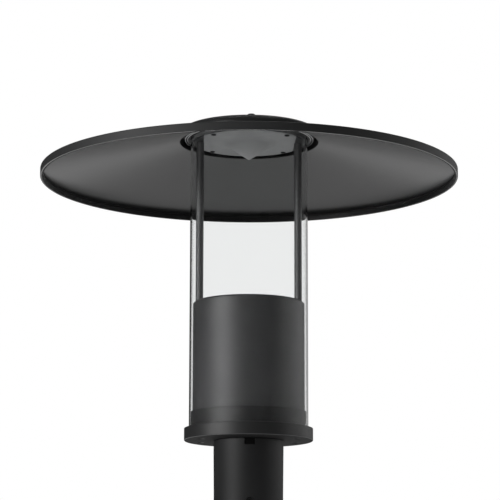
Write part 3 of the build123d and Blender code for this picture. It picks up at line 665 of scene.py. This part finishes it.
# painted highlight: pale metal bands on the two edges of the carrier's lip stand in for highlight arcs
lipPaintedHighlight = {"Base Color": (0.72, 0.725, 0.73), "Metallic": 0.8, "Roughness": 0.36}
coveredLip = {"Base Color": (0.017, 0.0172, 0.0177), "Metallic": 0.0}
# painted light: a much paler tone on the ring's inner part, inside the glass groove
innerRingPaintedLight = {"Base Color": (0.16, 0.161, 0.163)}


def makeCarrier(look=carrierLook):
    low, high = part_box("top_carrier")
    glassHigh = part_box("glass_cylinder")[1]
    eye, plateRound, chamfer = look["eye"], look["plateRound"], look["chamfer"]
    grooveInner = glassHigh.x - glassLook["wall"] - look["grooveGap"]
    grooveOuter = glassHigh.x + look["grooveGap"]
    groove = glassHigh.z + look["gasket"]
    edge = glassHigh.z - look["engagement"]
    pocket = grooveInner - look["pocketWall"]
    pocketFloor = low.z + look["plate"]
    lip = high.x - look["lip"]
    face = lip - look["lipGroove"]
    corners = [
        (eye, low.z, plateRound),
        (grooveInner, low.z, plateRound),
        (grooveInner, groove, look["grooveRound"]),
        (grooveOuter, groove, look["grooveRound"]),
        (grooveOuter, edge + chamfer, look["chamferTop"]),
        (grooveOuter + chamfer, edge, look["chamferFoot"]),
        (face, edge, look["lipRound"]),
        (face, edge + look["lipDepth"], look["lipFloor"]),
        (lip, edge + look["lipDepth"], look["lipFloor"]),
        (lip, edge, look["lipRound"]),
        (high.x, edge, look["bead"]),
        (high.x, high.z, look["landRound"]),
        (pocket, high.z, plateRound),
        (pocket, pocketFloor, plateRound),
        (eye, pocketFloor, plateRound),
    ]
    # this coat's dark tone is painted shade, its lip bands a painted highlight and its paler inner ring
    # painted light
    coat = makeGraphiteCoat("carrierCoatPaintedLightAndShade", carrierCoatPaintedLightAndShadeLook, [
        zone("radius", "COMPARE", high.x, lipPaintedHighlight, look["bead"]),
        zone("radius", "COMPARE", face, lipPaintedHighlight, look["lipRound"]),
        zone("height", "GREATER_THAN", edge + look["bead"], coveredLip),
        zone("radius", "LESS_THAN", grooveOuter + chamfer, innerRingPaintedLight)])
    makePiece("carrierRing", [turnedGrid(roundedOutline(corners))], coat, "lantern",
              ["top_carrier"])


makeCarrier()


# Cone reflector: thin spun sheet, flat at the rim, sweeping into a cone that points down

reflectorLook = {"sheet": 1.2 * mm, "slope": 33.0, "coneRadius": 46.0 * mm, "tipRound": 2.0 * mm,
                 "tipTo": 6.0 * mm, "tipPoints": 13, "sideFrom": 7.0 * mm, "sidePoints": 64,
                 "edgeWidth": 0.6 * mm, "edgeRound": 0.5 * mm, "rodGap": 0.4 * mm, "cutReach": 1.0 * mm}


def makeConeReflector(look=reflectorLook):
    low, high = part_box("cone_reflector")
    sheet, slope, coneRadius = look["sheet"], math.radians(look["slope"]), look["coneRadius"]
    face = high.z - sheet
    knee = (face - low.z) / math.tan(slope)
    bend = (coneRadius - knee) / math.tan(slope / 2)
    rim = high.x - look["edgeWidth"]
    radius = np.concatenate([np.linspace(0, look["tipTo"], look["tipPoints"]),
                             np.linspace(look["sideFrom"], rim, look["sidePoints"])])
    # straight cone, then an arc into the flat; the tip is eased by a small hyperbola, and what that
    # leaves short where the cone meets the arc is shared out along the cone
    coneEnd = coneRadius - bend * math.sin(slope)
    arc = face - bend + np.sqrt(np.maximum(bend ** 2 - (coneRadius - radius) ** 2, 0))
    eased = np.sqrt(radius ** 2 + look["tipRound"] ** 2) - look["tipRound"]
    cone = low.z + eased * math.tan(slope)
    onCone = radius < coneEnd
    short = (arc - cone)[~onCone][0]
    flatOrArc = np.where(radius < coneRadius, arc, face)
    lower = np.where(onCone, cone + short * (radius / coneEnd), flatOrArc)
    edge = roundedOutline([(rim, face, 0), (high.x, face, look["edgeRound"]),
                           (high.x, high.z, look["edgeRound"]), (rim, high.z, 0)])[1:-1]
    under = np.stack([radius, lower], axis=1)
    upper = np.stack([radius, lower + sheet], axis=1)
    outline = np.vstack([under, edge, upper[::-1]])
    piece = makePiece("coneReflectorPlate", [turnedGrid(outline)], finishes["satin_reflector"], "lantern",
                      ["cone_reflector"], closedOutline=False)
    cutters = []
    for node in ("left_support_rod", "right_support_rod"):
        rodLow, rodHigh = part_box(node)
        hole = (rodHigh.x - rodLow.x) / 2 + look["rodGap"]
        through = plugGrid(hole, face - look["cutReach"], high.z + look["cutReach"],
                           x=(rodLow.x + rodHigh.x) / 2)
        cutters.append(cutterOf(through))
    cutAway(piece, cutters)


makeConeReflector()


# Gaskets: flat rings with eased edges

gasketLook = {"glassOverlap": 0.4 * mm, "glassEase": 0.6 * mm, "canopyWidth": 9.0 * mm,
              "canopyEase": 0.4 * mm, "steps": 4, "segments": 192}


def makeGasket(node, name, body, inner, ease, look=gasketLook):
    low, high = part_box(node)
    outline = roundedOutline(ringCorners(inner, high.x, low.z, high.z, ease), look["steps"])
    makePiece(name, [turnedGrid(outline, look["segments"])], sealFinish, body, [node])


def makeGaskets(look=gasketLook):
    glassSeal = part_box("glass_cylinder")[1].x - glassLook["wall"] - look["glassOverlap"]
    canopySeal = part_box("canopy_gasket")[1].x - look["canopyWidth"]
    makeGasket("lower_glass_gasket", "lowerGlassSeal", "lantern", glassSeal, look["glassEase"])
    makeGasket("upper_glass_gasket", "upperGlassSeal", "lantern", glassSeal, look["glassEase"])
    makeGasket("canopy_gasket", "canopySeal", "canopy", canopySeal, look["canopyEase"])


makeGaskets()
print("turned pieces made")


# Screws: one turned grid each, with a hex socket and a threaded shank

screwLook = {"segments": 72, "pitchShare": 0.30, "threadShare": 0.12, "rowsPerPitch": 6, "domeSteps": 6,
             "footEase": 0.1 * mm, "socketFlare": 1.08, "socketEase": 0.08, "socketPoint": 0.15,
             "sharpAngle": 30}
screwKinds = {
    "canopy_screws": {"name": "canopyCapScrews", "count": 4, "head": (5.25 * mm, 1.5 * mm),
                      "shank": (3.0 * mm, 8.8 * mm), "body": "canopy", "slot": "dark_screw"},
    "reflector_screws": {"name": "reflectorScrews", "count": 4, "head": (3.6 * mm, 1.3 * mm),
                         "shank": (2.0 * mm, 6.7 * mm), "slot": "dark_screw", "headDown": True},
    "bezel_screws": {"name": "bezelScrews", "count": 6, "head": (3.6 * mm, 2.4 * mm),
                     "shank": (2.0 * mm, 20.2 * mm)},
    "deck_screws": {"name": "deckScrews", "count": 4, "head": (4.6 * mm, 3.0 * mm),
                    "shank": (2.5 * mm, 18.0 * mm)},
    "base_screws": {"name": "baseScrews", "count": 4, "head": (4.6 * mm, 3.0 * mm),
                    "shank": (2.5 * mm, 16.5 * mm), "headDown": True},
}


def threadWave(height, pitch, turn):
    # falls and rises once per pitch along the height, shifted by the turn, which makes a thread
    return np.abs(((height[None, :] / pitch - turn / fullTurn) % 1) * 2 - 1)


def hexagonRadius(size, turn):
    # radius of a hexagon whose corners lie at size
    sector = (turn + math.pi / 6) % (math.pi / 3) - math.pi / 6
    return size * math.cos(math.pi / 6) / np.cos(sector)


def ringsGrid(rings, turn):
    # each ring (radius, height) has one radius, or one for each turn
    radius = np.hstack([reach + 0 * turn for reach, level in rings])
    height = np.array([level for reach, level in rings])[None, :]
    return np.stack([radius * np.cos(turn), radius * np.sin(turn), height + 0 * turn], axis=-1)


def screwGrid(headRadius, headHeight, shankRadius, shankLength, look=screwLook):
    # threaded shank from its foot up, then the domed head and the hexagon socket in it
    turn = turnsRound(look["segments"])
    pitch = look["pitchShare"] * shankRadius * 2
    shankHeight = np.linspace(-shankLength, 0, int(shankLength / pitch * look["rowsPerPitch"]))
    ends = np.clip(np.minimum(shankHeight + shankLength, -shankHeight) / pitch, 0, 1)[None, :]
    shank = shankRadius * (1 - look["threadShare"] * threadWave(shankHeight, pitch, turn) * ends)
    ease = headHeight / 3
    angles = np.linspace(0, math.pi / 2, look["domeSteps"])
    domeRadius = headRadius - ease + ease * np.cos(angles)
    domeHeight = headHeight - ease + ease * np.sin(angles)
    socket, socketFloor = headRadius / 2, headHeight / 2
    hexagon = hexagonRadius(socket, turn)
    rings = [(0, -shankLength)]
    rings += [(shank[:, k:k + 1], level) for k, level in enumerate(shankHeight)]
    rings += [(headRadius - look["footEase"], 0), (headRadius, look["footEase"])]
    rings += list(zip(domeRadius, domeHeight))
    rings += [(look["socketFlare"] * hexagon, headHeight),
              (hexagon, headHeight - look["socketEase"] * socket),
              (hexagon, socketFloor),
              (0, socketFloor - look["socketPoint"] * socket)]
    return ringsGrid(rings, turn)


def makeScrews(node, kind):
    low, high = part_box(node)
    grid = screwGrid(*kind["head"], *kind["shank"])
    seat = high.z - kind["head"][1]
    if kind.get("headDown"):
        grid[..., 1:] *= -1
        seat = low.z + kind["head"][1]
    grids = [grid + np.array([x, y, seat]) for x, y, z in screwPlaces(node, kind["count"])]
    slot = kind.get("slot", "stainless")
    makePiece(kind["name"], grids, finishes[slot], kind.get("body", "lantern"), [node],
              closedOutline=False, sharpAngle=screwLook["sharpAngle"])


for screwNode, screwKind in screwKinds.items():
    makeScrews(screwNode, screwKind)


# Washers under the canopy's screws, and the three threaded set screws in the neck

washerLook = {"holeGap": 0.3 * mm, "edge": 0.1 * mm, "topRound": 0.35 * mm, "steps": 4, "segments": 64}
setScrewLook = {"pitch": 1.5 * mm, "threadDepth": 0.45 * mm, "socket": 2.9 * mm, "socketDepth": 2.8 * mm,
                "socketFlare": 1.06, "socketEase": 0.3 * mm, "socketPoint": 0.5 * mm, "cup": 1.0 * mm,
                "cupShare": 0.5, "end": 0.8 * mm, "rows": 60, "segments": 72}


def makeWashers(look=washerLook):
    low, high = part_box("canopy_washers")
    hole = screwKinds["canopy_screws"]["shank"][0] + look["holeGap"]
    places = screwPlaces("canopy_washers", 4)
    outer = high.x - max(x for x, y, z in places)
    corners = [(hole, low.z, 0), (outer, low.z, look["edge"]), (outer, high.z, look["topRound"]),
               (hole, high.z, look["edge"])]
    outline = roundedOutline(corners, look["steps"])
    grids = [turnedGrid(outline, look["segments"], x, y) for x, y, z in places]
    makePiece("canopyWashers", grids, finishes["dark_screw"], "canopy", ["canopy_washers"])


def makeSetScrew(index, look=setScrewLook):
    # cupped point, threaded side that narrows at both ends, and a hexagon socket
    node = f"set_screw_{index}"
    points = pointsOf(node)
    middle = (points.min(axis=0) + points.max(axis=0)) / 2
    outward = math.atan2(middle[1], middle[0])
    along = points @ np.array([math.cos(outward), math.sin(outward), 0])
    start, length = along.min(), along.max() - along.min()
    radius = (points[:, 2].max() - points[:, 2].min()) / 2
    turn = turnsRound(look["segments"])
    height = np.linspace(0, length, look["rows"])
    ends = np.clip(np.minimum(height, length - height) / look["end"], 0, 1)[None, :]
    thread = look["threadDepth"] * threadWave(height, look["pitch"], turn) * ends
    side = radius - thread - look["end"] * (1 - ends)
    hexagon = hexagonRadius(look["socket"], turn)
    floor = length - look["socketDepth"]
    rings = [(0, look["cup"]), (look["cupShare"] * radius, 0)]
    rings += [(side[:, k:k + 1], level) for k, level in enumerate(height)]
    rings += [(look["socketFlare"] * hexagon, length), (hexagon, length - look["socketEase"]),
              (hexagon, floor), (0, floor - look["socketPoint"])]
    grid = alongRadius(ringsGrid(rings, turn), start, outward, middle[2])
    makePiece(f"setScrew{index}", [grid], finishes["dark_screw"], node, [node],
              closedOutline=False, sharpAngle=screwLook["sharpAngle"])


makeWashers()
for screwIndex in setScrewIndexes:
    makeSetScrew(screwIndex)
print("screws made")


# Camera at the photograph's place: below the flange, looking up a little

cameraLook = {"distance": 3.127, "height": -0.2092, "side": 2.0, "pitch": 11.0, "nudge": 0.049, "roll": -0.10,
              "lens": 157.46, "sensor": 36.0, "sight": 100.0}


def makeCamera(look=cameraLook):
    lensData = bpy.data.cameras.new("viewCamera")
    lensData.lens = look["lens"]
    lensData.sensor_width = look["sensor"]
    lensData.clip_end = look["sight"]
    viewer = bpy.data.objects.new("viewCamera", lensData)
    side, away = math.radians(look["side"]), look["distance"]
    viewer.location = (-away * math.sin(side), -away * math.cos(side), look["height"])
    viewer.rotation_euler = (math.radians(90 + look["pitch"]), math.radians(look["roll"]),
                             -side - math.radians(look["nudge"]))
    bpy.context.scene.collection.objects.link(viewer)
    bpy.context.scene.camera = viewer


makeCamera()


# Studio: pale floor, white surround and soft boxes

floorLook = {"height": -0.45, "half": 9.0, "tone": 0.80, "rough": 0.9, "fadeFrom": 0.8, "fadeTo": 3.0}
surroundLook = {"ambient": 0.18, "frontDeep": 0.30, "frontLow": 0.01, "frontHigh": 0.10, "backLeft": 0.05,
                "backRight": 0.35, "middle": 0.037, "middleGlow": 0.50, "lowGlow": 0.04, "bandGlow": 1.70,
                "sideGlow": 0.95, "paleGlow": 0.38, "deepGlow": 0.78, "frontRise": (0.0, 0.25),
                "frontFall": (-0.30, -0.03), "backSplit": (0.02, 0.06), "middleEdge": (0.015, 0.04),
                "bandEdge": (0.03, 0.09), "bandTop": (-0.25, -0.18), "bandFoot": (-0.42, -0.25),
                "deepTop": (-0.62, -0.45), "horizon": (-0.05, 0.05), "behind": (0.2, 0.7)}
boxes = {
    "leftBox": {"turn": -56, "tilt": 90, "distance": 2.2, "height": 0.61, "size": (1.6, 0.54), "power": 29},
    "rightBox": {"turn": 98, "tilt": 90, "distance": 1.8, "height": 0.60, "size": (2.4, 0.6), "power": 7},
    "innerFill": {"turn": -25, "tilt": 90, "distance": 2.2, "height": 0.20, "size": (1.6, 0.5), "power": 16,
                  "onlyOn": ("leftRod", "rightRod", "carrierRing")},
    "plateFill": {"turn": 0, "tilt": 180, "distance": 0.0, "height": -0.3, "size": (0.8, 0.8), "power": 0.75,
                  "onlyOn": ("coneReflectorPlate",)},
    "topBox": {"turn": 0, "tilt": 0, "distance": 0.0, "height": 2.6, "size": (2.0, 2.0), "power": 6},
}
shadowless = ("glassTube", "window_glass", "baseFlangeCasting")


def rayKinds(tree):
    # straight: from the camera, through clear glass or not; mirrored: has met a shiny face on its way
    path = addNode(tree, "LightPath").outputs
    turned = calc(tree, "ADD", path["Glossy Depth"], path["Diffuse Depth"])
    unturned = calc(tree, "GREATER_THAN", 0.5, turned)
    through = calc(tree, "MULTIPLY", unturned, path["Is Transmission Ray"])
    straight = calc(tree, "MAXIMUM", through, path["Is Camera Ray"])
    mirrored = calc(tree, "GREATER_THAN", path["Glossy Depth"], 0.5)
    return straight, mirrored


def makeWorld(look=surroundLook):
    # straight rays meet plain white and most others an even ambient; mirrored rays meet a surround that
    # is dim in front, and behind the object is dim on the left, paler on the right and in the middle,
    # dark just below the horizon, with a bright band under that and a paler ground at its foot
    world = bpy.data.worlds.new("studioWorld")
    bpy.context.scene.world = world
    world.use_nodes = True
    tree = world.node_tree
    direction = addNode(tree, "SeparateXYZ", {"Vector": addNode(tree, "TexCoord").outputs["Generated"]})
    across, ahead, rise = direction.outputs["X"], direction.outputs["Y"], direction.outputs["Z"]
    aside = calc(tree, "ABSOLUTE", calc(tree, "SUBTRACT", across, look["middle"]))
    frontUpper = spread(tree, rise, look["frontLow"], look["frontHigh"], *look["frontRise"])
    front = spread(tree, rise, look["frontDeep"], frontUpper, *look["frontFall"])
    backSides = spread(tree, across, look["backLeft"], look["backRight"], *look["backSplit"])
    above = spread(tree, aside, look["middleGlow"], backSides, *look["middleEdge"])
    band = spread(tree, aside, look["bandGlow"], look["sideGlow"], *look["bandEdge"])
    low = spread(tree, rise, band, look["lowGlow"], *look["bandTop"])
    deep = spread(tree, rise, look["deepGlow"], look["paleGlow"], *look["deepTop"])
    below = spread(tree, rise, deep, low, *look["bandFoot"])
    back = spread(tree, rise, below, above, *look["horizon"])
    glow = spread(tree, ahead, front, back, *look["behind"])
    straight, mirrored = rayKinds(tree)
    bounced = mixValue(tree, mirrored, look["ambient"], glow)
    background = tree.nodes["Background"]
    background.inputs["Color"].default_value = (1, 1, 1, 1)
    tree.links.new(mixValue(tree, straight, bounced, 1.0), background.inputs["Strength"])


def makeFloor(look=floorLook):
    # pale paper that keeps the shadow; it fades to white far away, mirrored rays pass it to meet the
    # surround, and it is clear from below, so that the underside can be seen
    half, tone = look["half"], look["tone"]
    corners = [(-half, -half), (half, -half), (half, half), (-half, half)]
    mesh = bpy.data.meshes.new("studioFloor")
    mesh.from_pydata([(x, y, look["height"]) for x, y in corners], [], [(0, 1, 2, 3)])
    floor = bpy.data.objects.new("studioFloor", mesh)
    bpy.context.scene.collection.objects.link(floor)
    paper, tree, shader, place = newFinish("floorPaper", Base_Color=(tone, tone, tone, 1),
                                           Roughness=look["rough"])
    away = addNode(tree, "VectorMath", {0: place}, operation="LENGTH").outputs["Value"]
    fade = spread(tree, away, 0.0, 1.0, look["fadeFrom"], look["fadeTo"])
    straight, mirrored = rayKinds(tree)
    distant = calc(tree, "MULTIPLY", fade, straight)
    white = addNode(tree, "Emission", {"Strength": 1.0}).outputs[0]
    seen = addNode(tree, "MixShader", {0: distant, 1: shader.outputs[0], 2: white}).outputs[0]
    clear = addNode(tree, "BsdfTransparent").outputs[0]
    fromBelow = addNode(tree, "NewGeometry").outputs["Backfacing"]
    passing = calc(tree, "MAXIMUM", mirrored, fromBelow)
    paperOrClear = addNode(tree, "MixShader", {0: passing, 1: seen, 2: clear}).outputs[0]
    tree.links.new(paperOrClear, tree.nodes["Material Output"].inputs["Surface"])
    mesh.materials.append(paper)


def makeLights():
    # the glass and the flange cast no shadow of the boxes, so that their light reaches the housing and
    # the rods inside the tube; a fill lights only its own pieces, and no face mirrors a box
    solidPieces = bpy.data.collections.new("solidPieces")
    for item in bpy.context.scene.objects:
        if item.type == "MESH" and item.name not in shadowless:
            solidPieces.objects.link(item)
    for name, look in boxes.items():
        lamp = bpy.data.lights.new(name, "AREA")
        lamp.shape = "RECTANGLE"
        lamp.size, lamp.size_y = look["size"]
        lamp.energy = look["power"]
        lamp.cycles.use_multiple_importance_sampling = False
        turn, away = math.radians(look["turn"]), look["distance"]
        holder = bpy.data.objects.new(name, lamp)
        holder.location = (away * math.sin(turn), -away * math.cos(turn), look["height"])
        holder.rotation_euler = (math.radians(look["tilt"]), 0, turn)
        holder.light_linking.blocker_collection = solidPieces
        if "onlyOn" in look:
            litPieces = bpy.data.collections.new(name + "Pieces")
            for pieceName in look["onlyOn"]:
                litPieces.objects.link(bpy.data.objects[pieceName])
            holder.light_linking.receiver_collection = litPieces
            holder.light_linking.blocker_collection = litPieces
        bpy.context.scene.collection.objects.link(holder)


makeWorld()
makeFloor()
makeLights()
bpy.context.scene.view_settings.view_transform = "Standard"
print("studio made")
